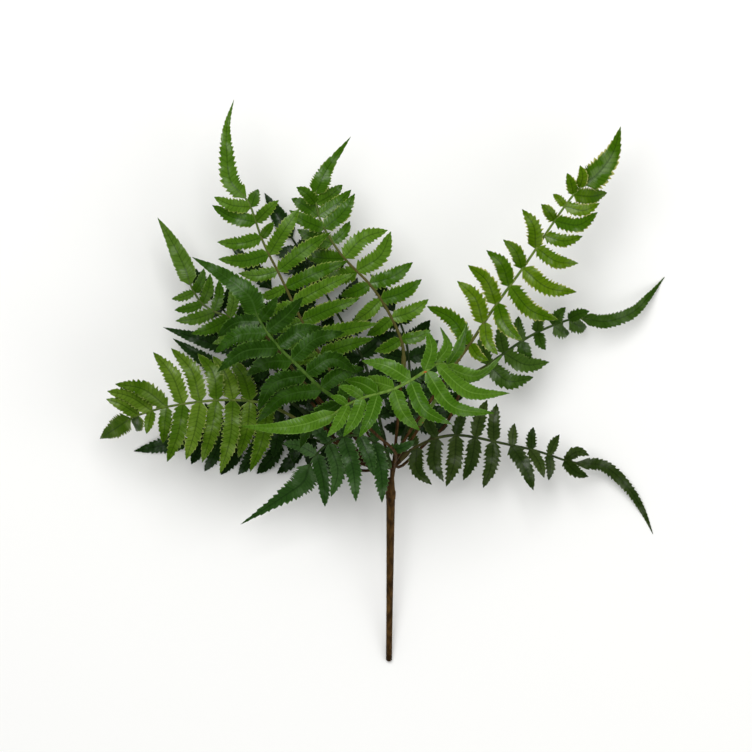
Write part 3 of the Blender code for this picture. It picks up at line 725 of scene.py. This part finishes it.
@dataclass(frozen=True)
class Frond:
    """One frond: its wire, its bare rib, its pairs from the wire outward, and its end leaflet.

    A row holds what one pair is made of, or its rib point alone where the photo hides both leaflets. The
    end holds the end leaflet's points, from the rib's end to the tip. A bow is how far a leaflet's middle
    arches towards the frond's foot, as a share of its length, and the breadth is how wide its leaflets are,
    as a share of the usual width.
    """

    name: str
    wire: tuple[Spot, ...]
    rows: tuple[tuple, ...]
    end: tuple[Spot, ...]
    # Unless given, a frond is a hidden back one, dark and with painted shade for the shadow inside the spray.
    tone: Tone = Tone.DARK
    finish: LeafFinish = PAINTED_SHADE
    bare: tuple[Spot, ...] = ()
    end_width: float = 13.0
    reach: float = 30.0
    rib_width: float = 2.6
    bow: tuple[float, float] = (0.05, 0.08)
    breadth: float = 1.1
    depth: float = 0.26
    end_depth: float = 0.2
    fullness: float = LEAFLET_FULLNESS
    end_fullness: float = END_FULLNESS
    stir: float = 1.0

    @property
    def pairs(self) -> list[Pair]:
        """Give the pairs that the rows stand for."""
        return [Pair(*row) if isinstance(row[0], tuple) else Pair(row) for row in self.rows]

    def route(self) -> tuple[list[Vector], int]:
        """Give the curve's points from the stem outward and the number of the wire's last point."""
        bundle = Vector(WIRE_BUNDLE)
        bundle += (Vector(self.wire[0]) - bundle).normalized() * BUNDLE_SPREAD
        points = [Vector(WIRE_ROOT), bundle]
        points += [Vector(p) for p in self.wire + self.bare]
        points += [Vector(pair.rib) for pair in self.pairs]
        points.append(Vector(self.end[0]))
        return points, len(self.wire) + 1

    def rib_half_width(self, share: float) -> float:
        """Give half the rib's width, which tapers along the rib."""
        return self.rib_width / 2 * (1 - RIB_TAPER * share)

    def rib_stations(self) -> tuple[list[Station], list[int]]:
        """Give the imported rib's stations and, for each pair, its first station's number."""
        points, ends_at = self.route()
        place, heading = curve_point(points, ends_at)
        stations = [(place + heading * JOIN_GAP, heading)]
        first_pair = ends_at + len(self.bare) + 1
        for index in range(ends_at, first_pair):
            if (points[index + 1] - points[index]).length > WIRE_STEP:
                stations.append(curve_point(points, index + 0.5))
            if index + 1 < first_pair:
                stations.append(curve_point(points, index + 1))
        necks = []
        for number in range(len(self.pairs)):
            place, heading = curve_point(points, first_pair + number)
            necks.append(len(stations))
            stations.append((place - heading * NECK / 2, heading))
            stations.append((place + heading * NECK / 2, heading))
        stations.append((points[-1], curve_point(points, len(points) - 1)[1]))
        return stations, necks

    def end_leaflet(self) -> Leaflet:
        """Give the long leaflet at the frond's end."""
        points = [Vector(p) for p in self.end]
        if len(points) == 2:
            points.insert(1, (points[0] + points[1]) / 2 + UP * END_LIFT)
        facing = facing_up(self.rib_stations()[0][-1][1])
        return Leaflet(tuple(points), facing, self.end_width, self.end_fullness, self.end_depth, inset=2.0)

    def wanted_tip(self, place: Vector, heading: Vector, side: int, tip: Spot, share: float) -> Vector:
        """Give the tip that a leaflet should reach: as stated, or at the usual angle where it is hidden.

        Args:
            place: The leaflet's neck.
            heading: The rib's heading there.
            side: 1 for left and -1 for right.
            tip: The stated tip, or an empty one.
            share: How far along the rib it is.

        Returns:
            The tip's place.
        """
        if tip:
            span = Vector((tip[0] - place.x, tip[1] - place.y, 0))
        else:
            flat = Vector((heading.x, heading.y, 0)).normalized()
            outward = Vector((-flat.y, flat.x, 0)) * side
            length = self.reach * (REACH_AT_FOOT + REACH_RISE * share - REACH_FALL * share ** 3)
            span = (flat * math.cos(LEAFLET_ANGLE) + outward * math.sin(LEAFLET_ANGLE)) * length
        span.z = tip[2] if len(tip) > 2 else -LEAFLET_DROOP * span.length
        return place + span

    def leaflets(self) -> list[Leaflet]:
        """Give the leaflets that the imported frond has, the end one first."""
        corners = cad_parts[self.name].data.vertices
        packed = KDTree(len(corners))
        for number, corner in enumerate(corners):
            packed.insert(corner.co / MM, number)
        packed.balance()
        necks = self.rib_stations()[1]
        found = [self.end_leaflet()]
        for number in reversed(range(len(necks))):
            pair = self.pairs[number]
            for side, tip in ((1, pair.left), (-1, pair.right)):
                leaflet = None if tip is None else self.bent_leaflet(number, side, tip, packed)
                if leaflet:
                    found.append(leaflet)
        return found

    def bent_leaflet(self, number: int, side: int, tip: Spot, packed: KDTree) -> Leaflet | None:
        """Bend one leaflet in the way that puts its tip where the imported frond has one.

        Args:
            number: The number of its pair.
            side: 1 for left and -1 for right.
            tip: Its stated tip, or an empty one.
            packed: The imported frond's corners.

        Returns:
            The leaflet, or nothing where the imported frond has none.
        """
        stations, necks = self.rib_stations()
        station = necks[number]
        heading = stations[station][1]
        centre = (stations[station][0] + stations[station + 1][0]) / 2
        facing = facing_up(heading)
        neck = centre + facing.cross(heading) * side * self.rib_half_width(station / len(stations))
        bows = self.pairs[number].bows or self.bow
        bow = bows[0] if side > 0 else -bows[1]
        wanted = self.wanted_tip(neck, heading, side, tip, number / max(1, len(necks) - 1))
        for extra, share in BENDS:
            reached = neck + (wanted - neck) * share + UP * extra
            above_table = Vector((reached.x, reached.y, max(reached.z, FINE_HALF)))
            if packed.find(above_table)[2] > TIP_REACH:
                continue
            span = reached - neck
            middle = neck + span * 0.5 + UP * span.length * LEAFLET_LIFT + UP.cross(span) * bow
            width = min(LEAFLET_WIDTH, LEAST_WIDTH + WIDTH_PER_LENGTH * span.length) * self.breadth
            return Leaflet((neck, middle, reached), facing, width, self.fullness, self.depth, stir=self.stir)
        return None

    def build(self) -> bpy.types.Object:
        """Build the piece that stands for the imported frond: sleeve, rib, leaflets and end leaflet."""
        dice = random.Random(self.name)
        shell = Shell()
        self.build_rib(shell)
        leaflets = self.leaflets()
        for leaflet in leaflets:
            leaflet.grow_into(shell, dice)
        LOG.info("%s: %d leaflets", self.name, len(leaflets))
        piece = shell.piece(f"fine_{self.name}", self.finish.materials())
        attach(piece, "root")
        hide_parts(self.name)
        return piece

    def build_rib(self, shell: Shell) -> None:
        """Build the sleeve over the wire, the tapering rib and its run under the end leaflet."""
        points, ends_at = self.route()
        path = stations_every(points, ends_at, len(points) - 1, RIB_STEP)
        last = len(path) - 1
        sizes = [(self.rib_half_width(k / last), RIB_HALF * 1.15 * (1 - 0.3 * k / last)) for k in range(last + 1)]
        start, heading = path[0]
        path = [(start + heading * d, heading) for d, size in SLEEVE] + path[1:]
        sizes = [(size, size) for d, size in SLEEVE] + sizes[1:]
        end = list(self.end_leaflet().points)
        for k in range(1, 9):
            place, heading = curve_point(end, (len(end) - 1) * UNDER_END_STEP * k)
            path.append((place - facing_up(heading) * UNDER_END_DROP, heading))
            sizes.append((self.rib_half_width(1) * (1 - 0.1 * k), 0.72 * (1 - 0.1 * k)))
        shell.tube(path, sizes, RIB_SIDES, Skin.RIB)


FRONDS = (
    Frond(
        "frond_front", tone=Tone.BRIGHT, finish=FRONT, end_width=14, rib_width=3.2, depth=0.15, end_depth=0.06,
        fullness=1.8, breadth=1.0, wire=((13, -60, 62), (26, -43, 76), (32, -31, 88)),
        bare=((45, -12, 115), (54, 0, 131)), rows=(
            ((51, 12, 142), (96, 20, -16), (68, 47, -12), (-0.25, 0.06)),
            ((43.6, 13.6, 150), (102, -10, -14), (46, 43, -12), (-0.17, 0.26)),
            ((34.8, 8, 155), (90, -26, -12), (34.8, 42, -14), (-0.2, 0.14)),
            ((22, 0, 158), (55.6, -35, -12), (-17, 16, -8), (-0.16, 0.08)),
            ((9, -6.6, 159), (30, -40, -16), (-19.6, 0, -18), (-0.1, 0.05)),
            ((-4.4, -10.6, 158), (-18.8, -45.4, -14), (-30, 0.6, -20)),
            ((-16.4, -13.8, 156), (-31.6, -45, -12), (-35.6, -4.2, -14)),
            ((-28.4, -19.4, 152), (-44.4, -45, -14), (-42, -12.2, -10)),
        ), end=((-38.8, -26.6, 148), (-62, -34.6, 143), (-86, -37.8, 136), (-114, -36.2, 126)),
    ),
    Frond(
        "frond_front_left", tone=Tone.DEEP, finish=FOREST, end_width=20, rib_width=3.4, bow=(-0.14, 0.04),
        end_depth=0.16, reach=38, wire=((10, -57, 79), (-4, -44, 102), (-20, -29, 114)), rows=(
            ((-34, -17, 122), (-66, -54, -20)), ((-49, -6, 130), (-101, -34, -12), (-14, 10, -14), (-0.15, -0.1)),
            ((-61, 5.4, 136), (-100, -24, -16), (-20, 6.2, -12), (-0.2, -0.28)),
            ((-72.4, 16.6, 140), (-109, 3.8, -18), (-30, 39, -10), (-0.14, -0.12)),
            ((-83, 27, 142), (-132, 7, -8), (-47, 42, -12), (-0.14, -0.12)),
            ((-92.4, 39, 143), (-134, 22, -10), (-63.6, 67, -14)), ((-98, 48, 142), (-132, 35, -12)),
        ), end=((-100.4, 53, 142), (-107, 68, 141), (-127, 84, 137), (-152.4, 99, 130)),
    ),
    Frond(
        "frond_top_left", tone=Tone.MID, finish=FRESH, end_width=16, bow=(0.08, -0.02), end_depth=0.24,
        end_fullness=1.05, breadth=1.0, reach=38, wire=((-8, -48, 60), (-28, -14, 70), (-40, 5, 75)), rows=(
            ((-50, 21, 79), (), (-7, 34)), ((-57, 34, 83), (), (-3, 46)), ((-64.4, 47.8, 86), (-94, 44), (-18, 66)),
            ((-71.6, 62, 89), (-98, 56), (-22, 86)), ((-77.6, 75, 91), (-99.6, 67, -10), (-27, 96)),
            ((-84, 88, 93), (-115.6, 86), (-41.2, 119)), ((-91, 101.4, 95), (-131.6, 97.4), (-66, 138.2)),
            ((-97, 114.6, 96), (-132.4, 111), (-86.8, 127)), ((-101.4, 127.6, 96), (-136.4, 140.6), (-82.8, 144.6)),
            ((-105.6, 139.4, 96), (-134.8, 147), (-99.6, 153.4)),
        ), end=((-111, 148, 96), (-121.8, 160.6, 96), (-124.8, 184.6, 93), (-124.4, 204.6, 89), (-118.8, 225.4, 84)),
    ),
    Frond(
        "frond_low_left", tone=Tone.MID, finish=OLIVE, end_width=18, depth=0.28, end_depth=0.24,
        wire=((-16, -64, 64), (-42, -47, 74), (-62, -35, 81)), bare=((-77, -26, 85),), rows=(
            ((-91.6, -19.4, 89), (-106, -73), None), ((-106, -16.2, 92), (-115.6, -61.8), (-122, 18, -34)),
            ((-119.6, -15.4, 94), (-130, -74.6), (-136, 20, -34)),
            ((-132.8, -15.6, 95), (-144.4, -65.8), (-148, 22), (0.03, 0.14)),
            ((-146, -16.8, 96), (-157.2, -63.4), (-169.2, 26.2), (0.03, 0.12)),
            ((-159.6, -18.6, 95), (-172.4, -65), (-183.6, 23)),
            ((-173, -21, 93), (-175.6, -50.6), (-214, -2.6), (0, 0.12)),
            ((-185, -24.2, 90), (-188.8, -42.6, -14), (-220.4, -8.2), (0, 0.09)),
            ((-195.6, -27.6, 86), (-197.2, -40.2, -18), (-221.2, -14.6), (0, 0.06)),
        ), end=((-203, -31, 82), (-226.7, -46.6, 40)),
    ),
    Frond(
        "frond_top_right", tone=Tone.BRIGHT, finish=SUNLIT, end_width=23, bow=(-0.13, 0.13), depth=0.28,
        end_depth=0.18, wire=((18, -47, 52), (38, -17, 55), (57, 11, 60)), rows=(
            ((70, 29.4, 65), (35.6, 59.8), (85, 16, -12)), ((81.2, 46.4, 68), (59.6, 80), (92.4, 20.6)),
            ((91.6, 61.6, 71), (68.4, 92.6), (112, 32)), ((102, 76, 74), (83, 104.6), (141, 48.6)),
            ((112.4, 90.2, 77), (96.4, 113), (155.6, 71)), ((123.4, 106.4, 79), (111.6, 137.4), (157, 94)),
            ((130, 116.4, 80), None, (160.4, 115.8)), ((138, 128.4, 80), (126.8, 141.4), (172.4, 135), (-0.05, 0.2)),
            ((146.2, 140, 80), (136.4, 149.4), (174, 142.2), (-0.05, 0.16)),
            ((153.4, 149.4, 80), (147.6, 166.2), (180, 150.6, -10), (-0.05, 0.08)),
            ((158.6, 154.8, 79.5), (158, 172.4), None),
        ), end=((163, 158.6, 79), (172, 165.6, 78), (184, 182, 75), (190.8, 203.8, 70)),
    ),
    Frond(
        "frond_low_mid", tone=Tone.DEEP, finish=SLATE, end_width=22, depth=0.3, end_depth=0.36,
        wire=((5, -70, 60), (5, -64, 65)), rows=(
            ((3, -56, 71), None, (26, -48, 4)), ((-6, -49, 77), (-0.4, -97.8, -14), (-12, -26, -12)),
            ((-18, -44, 83), (-6.8, -76.2), (-30, -16, -12)), ((-31, -44.6, 83), (-21.2, -97), (-46, -18, -12)),
            ((-43, -50, 78), (-41.2, -93), (-66, -32, -12), (0.15, 0.08)),
            ((-53, -59, 70), (-46, -101), (-80, -50, -10)),
        ), end=((-58.8, -69, 61), (-63.6, -81, 54), (-78.8, -92.2, 45), (-114, -115.4, 34)),
    ),
    Frond(
        "frond_top_mid", tone=Tone.MID, finish=FRESH, end_width=16, wire=((11, -45, 57), (14, -10, 61), (17, 17, 63)),
        rows=(
            ((14.8, 33, 65), (-7, 23, -12), (38.8, 40.6)), ((7.4, 50, 67), (-13, 36, -12), (37, 65.4)),
            ((-1.2, 65, 70), (-24, 47, -12), (31.6, 81.4)), ((-10.4, 77.4, 72), (-34, 68, -14), (24.4, 95)),
            ((-20.6, 87.8, 73), (-50, 82, -12), (6.8, 119.8), (0.05, 0.15)),
            ((-31, 98.6, 74), (-64, 102, -12), (4.4, 120.6), (0.05, -0.12)),
            ((-40, 110.8, 74), (-68.4, 121.4, -12), (-26, 128, -6)),
            ((-46.8, 122.4, 74), (-74.8, 136.6, -10), (-22, 150)),
            ((-51, 132.4, 73), (-73, 146), (-25, 153), (-0.06, 0.05)),
            ((-53, 142.4, 73), (-69, 155), (-32, 157), (-0.08, 0.05)),
        ), end=((-53.4, 151, 73), (-49, 160, 73), (-43, 172, 70), (-25.2, 195.8, 62)),
    ),
    Frond(
        "frond_low_right", tone=Tone.DARK, finish=DUSK, end_width=11, breadth=1.05, bow=(0.04, -0.06), depth=0.34,
        end_depth=0.24, wire=((13, -66, 50), (19, -59, 50)), rows=(
            ((27, -53, 50), (22, -35, -10), (39.6, -83.4), (0.04, 0.2)),
            ((43, -46, 50), (34, -25), (49, -81), (0.04, 0.14)), ((59, -43.6, 49), (67, -22.6), (51, -85)),
            ((74.4, -45.4, 47), (84, -15), (64.6, -80)), ((89, -48.6, 45), (91.6, -18), (80.6, -86)),
            ((104, -51.8, 42), (106, -34, -10), (121, -88)), ((119, -55, 38), (121, -37, -10), (129.6, -78)),
            ((133.6, -59.4, 33), (142, -43, -8), (133.2, -80)),
            ((147, -64, 28), (166, -60, -10), (165.2, -77), (0.25, 0.1)),
        ), end=((158, -66.4, 23), (178, -68.6, 16), (196.4, -85, 8), (208.4, -103.4, 2), (217.4, -123.6, -4)),
    ),
    Frond(
        "frond_left", tone=Tone.MID, finish=SAGE, end_width=16, reach=32, depth=0.3, end_depth=0.12, breadth=1.0,
        wire=((-12, -56, 54), (-38, -28, 52), (-60, -5, 52)), bare=((-78, 17, 54),), rows=(
            (-93, 35, 57), ((-108, 45.6, 59), (-136.4, 29.4), (-98, 70)),
            ((-122.4, 51, 60), (-153.2, 37.4), (-121, 78)), ((-135, 55.6, 60), (-166, 47.8), (-131, 81)),
            ((-144.6, 62, 58), (-166.8, 56.6), (-138, 86)), ((-151, 71, 56), (-169, 65.4), (-143, 90)),
        ), end=((-154.6, 79, 54), (-159, 92, 53), (-169.2, 112.6, 50), (-180.4, 131, 46)),
    ),
    Frond(
        "frond_right", tone=Tone.DEEP, finish=MOSS, end_width=12, breadth=1.2, reach=34, depth=0.3,
        wire=((16, -68, 42), (36, -49, 36), (52, -33, 35), (67, 0, 39)), rows=(
            ((85, 13, 42), (), (121.2, 3), (0.05, 0.22)), ((98, 22.4, 43), (95, 46, -10), (134, 15), (0.05, 0.15)),
            ((111.4, 31.6, 43), (109, 52, -10), (122, 9.4)), ((124.4, 39, 42), (128, 55, -10), (130.8, 24.6)),
            ((137.4, 44.6, 40), (146.8, 59, -8), (150, 38, -12)), ((150, 49, 37), (166, 55.8, -6), (164, 43, -12)),
        ), end=((161, 50.4, 34), (179, 47.6, 27), (200, 54.5, 17), (214, 68, 8), (226.8, 83.8, -3)),
    ),
    Frond(
        "frond_back_top", end_width=15, breadth=1.25, reach=34, stir=0.2, wire=((4, -60, 44), (0, -42, 41)), rows=(
            (-3, -28, 38), (-6, -13, 35), (-10, 2, 32), (-17, 20, 28), (-27, 38, 24), (-38, 57, 19), (-49, 76, 14),
            (-59, 93, 10), (-67, 105.6, 7),
        ), end=((-74, 116.6, 4), (-94.8, 151, -4)),
    ),
    Frond(
        "frond_back_high", end_width=14, breadth=1.25, reach=34, stir=0.2, wire=((-8, -62, 38), (-20, -34, 27)),
        rows=((-26, -20, 24), (-33, -7, 21), (-43, 10, 18), (-56, 28, 15), (-69, 46, 12), (-81, 62, 10)),
        end=((-91, 76, 9), (-124, 112, 3)),
    ),
    Frond(
        "frond_floor_left", end_width=15, breadth=1.15, reach=36, wire=((-16, -72, 36), (-36, -64, 22)),
        bare=((-50, -60, 14),),
        rows=((-66, -54, 9), (-82, -50, 6), (-98, -47, 4), (-114, -46, 3), (-130, -45.4, 2), (-146, -46, 1)),
        end=((-158, -48, 0), (-200, -56.6, -3)),
    ),
    Frond(
        "frond_left_dark", breadth=1.2, wire=((-14, -64, 46), (-45, -31, 42), (-62, -12, 42)),
        rows=((-78, 3, 41), (-92, 13, 40), (-106, 20, 39)), end=((-118, 24, 38), (-176.4, 43, 28)),
    ),
    Frond(
        "frond_left_deep", breadth=1.2, wire=((-18, -66, 42), (-44, -40, 34), (-64, -24, 31)),
        rows=((-82, -12, 31), (-98, -5, 30), (-114, 1, 29)), end=((-128.4, 7, 28), (-168.4, 34, 20)),
    ),
    Frond(
        "frond_back_mid", breadth=1.25, stir=0.2, wire=((12, -60, 45), (18, -42, 42)),
        rows=((21, -27, 40), (22, -12, 39), (22, 3, 38), (21, 18, 37), (18.6, 33, 37), (14, 47, 37)),
        end=((8, 58, 36), (-10, 86, 30)),
    ),
    Frond(
        "frond_back_left", breadth=1.25, stir=0.2, wire=((-12, -62, 36), (-24, -41, 28)),
        rows=((-34, -25, 25), (-44, -11, 23), (-54, 3, 21), (-64, 14, 19)), end=((-73, 24, 17), (-104, 54, 10)),
    ),
    Frond(
        "frond_back_low", breadth=1.2, reach=32, wire=((-8, -70, 40), (-20, -63, 31)), rows=(
            ((-32, -57, 27), (-24, -80), ()), ((-45, -51, 25), (-42, -76), ()), ((-58, -46, 23), (-60, -68), ()),
            ((-71, -41, 22), (-72, -66), ()), ((-84, -36, 21), (-88, -62), ()),
        ), end=((-95, -31, 20), (-124, -14, 14)),
    ),
    Frond(
        "frond_back_right", end_width=12, breadth=1.25, wire=((15, -61, 41), (23, -48, 36)), rows=(
            ((29, -36, 34), (1, -37, -4), ()), ((34, -24, 33), (8, -18, -10), ()), (39, -12, 32),
            ((44, -1, 31), None, ()),
        ), end=((50, 9, 30), (70, 34, 24)),
    ),
    Frond(
        "frond_back_far", wire=((-16, -60, 33), (-46, -24, 26), (-70, 4, 24)),
        rows=((-88, 22, 24), (-102, 34, 23), (-116, 46, 22), (-129, 58, 21)), end=((-138, 67, 20), (-158, 96, 14)),
    ),
)


@dataclass(frozen=True)
class Stem:
    """The coated stem with its collar, and the branch wires that it carries."""

    end: Spot = (5.2, -225.0, 1.5)
    top: Spot = (6.8, -78.0, 51.0)
    profile: tuple[tuple[float, float], ...] = (
        (0.0, 1.4), (0.008, 2.35), (0.3, 2.65), (0.65, 3.1), (0.885, 3.5),
        (0.89, 3.9), (0.925, 4.1), (0.93, 3.5), (1.0, 2.6),
    )
    ring_step: float = 2.0
    sides: int = 40
    wire_sides: int = 12
    finish: StemFinish = StemFinish()

    def build(self, fronds: tuple[Frond, ...]) -> bpy.types.Object:
        """Build the stem, its collar and all wires as one piece.

        Args:
            fronds: The fronds that the wires lead to.

        Returns:
            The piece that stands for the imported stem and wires.
        """
        dice = random.Random("stem")
        shell = Shell()
        low, span = Vector(self.end), Vector(self.top) - Vector(self.end)
        heading = span.normalized()
        shares = []
        for (first, a), (second, b) in zip(self.profile, self.profile[1:]):
            steps = max(1, round((second - first) * span.length / self.ring_step))
            shares += [(first + (second - first) * k / steps, a + (b - a) * k / steps) for k in range(steps)]
        shares.append(self.profile[-1])
        sizes = [(radius + dice.uniform(-0.04, 0.04),) * 2 for share, radius in shares]
        shell.tube([(low + span * share, heading) for share, radius in shares], sizes, self.sides, Skin.LEAF, 0.012)
        for frond in fronds:
            points, ends_at = frond.route()
            path = stations_every(points, 0, ends_at, FINE_WIRE_STEP)
            sizes = [(WIRE_RADIUS * dice.uniform(0.97, 1.06),) * 2 for spot in path]
            shell.tube(path, sizes, self.wire_sides, Skin.LEAF, 0.015)
        piece = shell.piece("fine_stem_and_wires", [self.finish.material()])
        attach(piece, "root")
        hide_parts("stem_and_wires")
        return piece


@dataclass(frozen=True)
class Studio:
    """A pale floor, soft light and a camera that looks straight down."""

    middle: Spot = (-5.2, 3.8, 90.0)
    camera_height: float = 24000.0
    view_width: float = 601.6
    floor_half: float = 5000.0
    floor_colour: Colour = (244, 244, 242)

    def build(self) -> None:
        """Make the floor, the lights and the camera."""
        self.make_floor()
        self.make_lights()
        self.make_camera()

    def make_floor(self) -> None:
        """Make the plain pale floor and keep it out of the object."""
        half = self.floor_half * MM
        mesh = bpy.data.meshes.new("floor")
        mesh.from_pydata([(-half, -half, 0), (half, -half, 0), (half, half, 0), (-half, half, 0)], [], [(0, 1, 2, 3)])
        material = bpy.data.materials.new("floor_paper")
        material.use_nodes = True
        shader = material.node_tree.nodes["Principled BSDF"]
        shader.inputs["Base Color"].default_value = linear(self.floor_colour)
        shader.inputs["Roughness"].default_value = 0.9
        mesh.materials.append(material)
        floor = bpy.data.objects.new("floor", mesh)
        floor.location.z = -0.0004
        bpy.context.scene.collection.objects.link(floor)

    def make_lights(self) -> None:
        """Make the even sky and the soft boxes."""
        world = bpy.data.worlds.new("soft_room")
        world.use_nodes = True
        sky = world.node_tree.nodes["Background"]
        sky.inputs["Color"].default_value = (1, 1, 1, 1)
        sky.inputs["Strength"].default_value = 0.4
        bpy.context.scene.world = world
        self.make_soft_box("key_light", (-350, 800, 2300), 1.6, 42.0)
        self.make_soft_box("fill_light", (1400, -500, 1900), 1.8, 15.0)

    def make_soft_box(self, name: str, spot: Spot, size: float, power: float) -> None:
        """Make a square soft light that points at the spray.

        Args:
            name: The light's name.
            spot: Where it hangs, in millimetres.
            size: Its side, in metres.
            power: Its power, in watts.
        """
        light = bpy.data.lights.new(name, "AREA")
        light.size = size
        light.energy = power
        holder = bpy.data.objects.new(name, light)
        holder.location = Vector(spot) * MM
        holder.rotation_euler = (-holder.location).to_track_quat("-Z", "Y").to_euler()
        holder.visible_camera = False
        bpy.context.scene.collection.objects.link(holder)

    def make_camera(self) -> None:
        """Make the long-lens camera over the spray's middle."""
        lens = bpy.data.cameras.new("camera")
        lens.sensor_width = 36.0
        lens.lens = lens.sensor_width * (self.camera_height - self.middle[2]) / self.view_width
        lens.clip_end = 100.0
        lens.dof.use_dof = False
        camera = bpy.data.objects.new("camera", lens)
        camera.location = Vector((self.middle[0], self.middle[1], self.camera_height)) * MM
        bpy.context.scene.collection.objects.link(camera)
        bpy.context.scene.camera = camera


def main() -> None:
    """Build the stem, the fronds and the studio, and report each piece's triangles."""
    logging.basicConfig(level=logging.INFO, format="%(message)s", stream=sys.stdout)
    bpy.context.scene.view_settings.view_transform = "Standard"
    for piece in [Stem().build(FRONDS)] + [frond.build() for frond in FRONDS]:
        piece.data.calc_loop_triangles()
        LOG.info("%s: %d triangles", piece.name, len(piece.data.loop_triangles))
    Studio().build()


if __name__ == "__main__":
    main()
